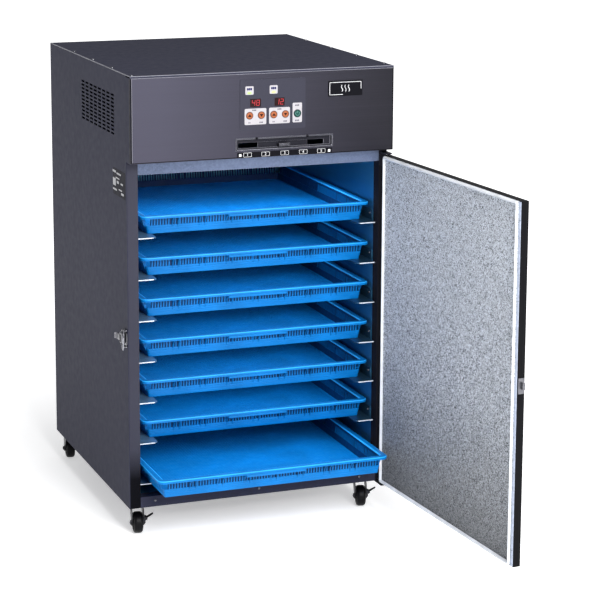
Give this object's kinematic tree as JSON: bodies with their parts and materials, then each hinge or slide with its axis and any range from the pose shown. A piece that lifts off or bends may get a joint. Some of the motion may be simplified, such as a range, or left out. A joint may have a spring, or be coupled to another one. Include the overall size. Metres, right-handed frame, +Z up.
{
  "type": "tray dryer cabinet",
  "caption": "Sheet-steel electric drying cabinet on swivel casters with a control head, hinged insulated door and slide-out plastic trays.",
  "frame": {"origin": "middle of the cabinet's underside, where the floor pan's flat bottom lies above the casters", "axes": "+Z up, -Y towards the door and the control head's front, +X to the user's right"},
  "size_m": [0.6915, 1.3318, 1.0736],
  "materials": {
    "body_paint": "fine satin powder coat",
    "head_paint": "brushed metallic satin paint",
    "stainless": "bright cold-rolled stainless sheet",
    "galvanised": "galvanised sheet with a soft spangle",
    "door_paint": "satin black coat",
    "door_liner": "stucco-embossed bright sheet",
    "gasket": "white silicone sponge seal",
    "zinc": "bright zinc plate",
    "heater_sheath": "heat-tinted tube",
    "overlay": "printed polyester film",
    "circuit_board": "green solder mask",
    "led_window": "dark red window",
    "orange_key": "printed orange key",
    "green_key": "printed green key",
    "damper_black": "satin black coat",
    "damper_metal": "brushed tab",
    "motor": "black enamel",
    "inlet_plastic": "moulded black",
    "caster_zinc": "bright zinc plate",
    "caster_wheel": "moulded black nylon",
    "pedal": "moulded black",
    "tray_plastic": "moulded blue polypropylene"
  },
  "bodies": {
    "cabinet": {"floor_pan": "body_paint", "chamber_floor": "stainless", "left_side_panel": "body_paint", "right_side_panel": "body_paint", "back_cover": "body_paint", "top_cover": "body_paint", "head_front_panel": "head_paint", "left_post": "body_paint", "right_post": "body_paint", "front_sill": "body_paint", "opening_header": "galvanised", "chamber_ceiling": "stainless", "left_chamber_wall": "stainless", "right_chamber_wall": "stainless", "air_baffle": "stainless", "left_tray_rack": "galvanised", "right_tray_rack": "galvanised", "control_overlay": "overlay", "control_board": "circuit_board", "temperature_display": "led_window", "timer_display": "led_window", "damper_frame": "damper_black", "fan_motor": "motor", "fan_housing": "galvanised", "heater": "heater_sheath", "temperature_probe": "stainless", "power_inlet": "inlet_plastic", "upper_hinge_bracket": "zinc", "lower_hinge_bracket": "zinc", "latch_base": "zinc"},
    "door": {"door_skin": "door_paint", "door_liner": "door_liner", "door_gasket": "gasket", "door_strike": "zinc"},
    "tray_1": {"tray_1": "tray_plastic"},
    "tray_2": {"tray_2": "tray_plastic"},
    "tray_3": {"tray_3": "tray_plastic"},
    "tray_4": {"tray_4": "tray_plastic"},
    "tray_5": {"tray_5": "tray_plastic"},
    "tray_6": {"tray_6": "tray_plastic"},
    "tray_7": {"tray_7": "tray_plastic"},
    "damper": {"damper_slide": "damper_metal"},
    "temperature_up_button": {"temperature_up_button": "orange_key"},
    "temperature_down_button": {"temperature_down_button": "orange_key"},
    "timer_up_button": {"timer_up_button": "orange_key"},
    "timer_down_button": {"timer_down_button": "orange_key"},
    "power_button": {"power_button": "green_key"},
    "fan_wheel": {"fan_wheel": "galvanised"},
    "latch_lever": {"latch_lever": "zinc"},
    "latch_loop": {"latch_loop": "zinc"},
    "front_left_caster": {"front_left_caster_fork": "caster_zinc"},
    "front_left_wheel": {"front_left_caster_wheel": "caster_wheel"},
    "front_left_brake": {"front_left_brake_pedal": "pedal"},
    "front_right_caster": {"front_right_caster_fork": "caster_zinc"},
    "front_right_wheel": {"front_right_caster_wheel": "caster_wheel"},
    "front_right_brake": {"front_right_brake_pedal": "pedal"},
    "rear_left_caster": {"rear_left_caster_fork": "caster_zinc"},
    "rear_left_wheel": {"rear_left_caster_wheel": "caster_wheel"},
    "rear_right_caster": {"rear_right_caster_fork": "caster_zinc"},
    "rear_right_wheel": {"rear_right_caster_wheel": "caster_wheel"}
  },
  "joints": [
    {"name": "door_hinge", "type": "hinge", "parent": "cabinet", "child": "door", "pos_m": [0.309, -0.356, 0.4], "axis": [0, 0, 1], "range_deg": [-93.6, 26.4]},
    {"name": "tray_1_slide", "type": "slide", "parent": "cabinet", "child": "tray_1", "axis": [0, -1, 0], "range_m": [0, 0.4]},
    {"name": "tray_2_slide", "type": "slide", "parent": "cabinet", "child": "tray_2", "axis": [0, -1, 0], "range_m": [0, 0.4]},
    {"name": "tray_3_slide", "type": "slide", "parent": "cabinet", "child": "tray_3", "axis": [0, -1, 0], "range_m": [0, 0.4]},
    {"name": "tray_4_slide", "type": "slide", "parent": "cabinet", "child": "tray_4", "axis": [0, -1, 0], "range_m": [0, 0.4]},
    {"name": "tray_5_slide", "type": "slide", "parent": "cabinet", "child": "tray_5", "axis": [0, -1, 0], "range_m": [0, 0.4]},
    {"name": "tray_6_slide", "type": "slide", "parent": "cabinet", "child": "tray_6", "axis": [0, -1, 0], "range_m": [0, 0.4]},
    {"name": "tray_7_slide", "type": "slide", "parent": "cabinet", "child": "tray_7", "axis": [0, -1, 0], "range_m": [-0.162, 0.046]},
    {"name": "damper_shift", "type": "slide", "parent": "cabinet", "child": "damper", "axis": [1, 0, 0], "range_m": [-0.087, 0.084]},
    {"name": "temperature_up_button_press", "type": "slide", "parent": "cabinet", "child": "temperature_up_button", "axis": [0, 1, 0], "range_m": [0, 0.0015], "stiffness_N_per_m": 400},
    {"name": "temperature_down_button_press", "type": "slide", "parent": "cabinet", "child": "temperature_down_button", "axis": [0, 1, 0], "range_m": [0, 0.0015], "stiffness_N_per_m": 400},
    {"name": "timer_up_button_press", "type": "slide", "parent": "cabinet", "child": "timer_up_button", "axis": [0, 1, 0], "range_m": [0, 0.0015], "stiffness_N_per_m": 400},
    {"name": "timer_down_button_press", "type": "slide", "parent": "cabinet", "child": "timer_down_button", "axis": [0, 1, 0], "range_m": [0, 0.0015], "stiffness_N_per_m": 400},
    {"name": "power_button_press", "type": "slide", "parent": "cabinet", "child": "power_button", "axis": [0, 1, 0], "range_m": [0, 0.0015], "stiffness_N_per_m": 400},
    {"name": "fan_spin", "type": "hinge", "parent": "cabinet", "child": "fan_wheel", "pos_m": [0, 0.215, 0.882], "axis": [1, 0, 0], "continuous": true},
    {"name": "latch_lever_swing", "type": "hinge", "parent": "cabinet", "child": "latch_lever", "pos_m": [-0.3195, -0.316, 0.399], "axis": [0, 0, 1], "range_deg": [0, 100]},
    {"name": "latch_loop_swing", "type": "hinge", "parent": "latch_lever", "child": "latch_loop", "pos_m": [-0.322, -0.304, 0.399], "axis": [0, 0, 1], "range_deg": [-100, 0]},
    {"name": "front_left_swivel", "type": "hinge", "parent": "cabinet", "child": "front_left_caster", "pos_m": [-0.28, -0.27, -0.01], "axis": [0, 0, 1], "continuous": true},
    {"name": "front_left_roll", "type": "hinge", "parent": "front_left_caster", "child": "front_left_wheel", "pos_m": [-0.28282, -0.28778, -0.0486], "axis": [-0.9877, 0.1564, 0], "continuous": true},
    {"name": "front_left_brake_press", "type": "hinge", "parent": "front_left_caster", "child": "front_left_brake", "pos_m": [-0.26405, -0.29075, -0.0391], "axis": [-0.1564, -0.9877, 0], "range_deg": [-28, 0]},
    {"name": "front_right_swivel", "type": "hinge", "parent": "cabinet", "child": "front_right_caster", "pos_m": [0.28, -0.27, -0.01], "axis": [0, 0, 1], "continuous": true},
    {"name": "front_right_roll", "type": "hinge", "parent": "front_right_caster", "child": "front_right_wheel", "pos_m": [0.27534, -0.28739, -0.0486], "axis": [-0.9659, 0.2588, 0], "continuous": true},
    {"name": "front_right_brake_press", "type": "hinge", "parent": "front_right_caster", "child": "front_right_brake", "pos_m": [0.29369, -0.2923, -0.0391], "axis": [-0.2588, -0.9659, 0], "range_deg": [-28, 0]},
    {"name": "rear_left_swivel", "type": "hinge", "parent": "cabinet", "child": "rear_left_caster", "pos_m": [-0.285, 0.304, -0.01], "axis": [0, 0, 1], "continuous": true},
    {"name": "rear_left_roll", "type": "hinge", "parent": "rear_left_caster", "child": "rear_left_wheel", "pos_m": [-0.28249, 0.32183, -0.0486], "axis": [0.9903, -0.1392, 0], "continuous": true},
    {"name": "rear_right_swivel", "type": "hinge", "parent": "cabinet", "child": "rear_right_caster", "pos_m": [0.285, 0.304, -0.01], "axis": [0, 0, 1], "continuous": true},
    {"name": "rear_right_roll", "type": "hinge", "parent": "rear_right_caster", "child": "rear_right_wheel", "pos_m": [0.28751, 0.32183, -0.0486], "axis": [0.9903, -0.1392, 0], "continuous": true}
  ],
  "couplings": [
    {"joint": "tray_7_slide", "follows": "door_hinge", "m_per_rad": 0.099},
    {"joint": "latch_loop_swing", "follows": "latch_lever_swing", "ratio": -1}
  ]
}
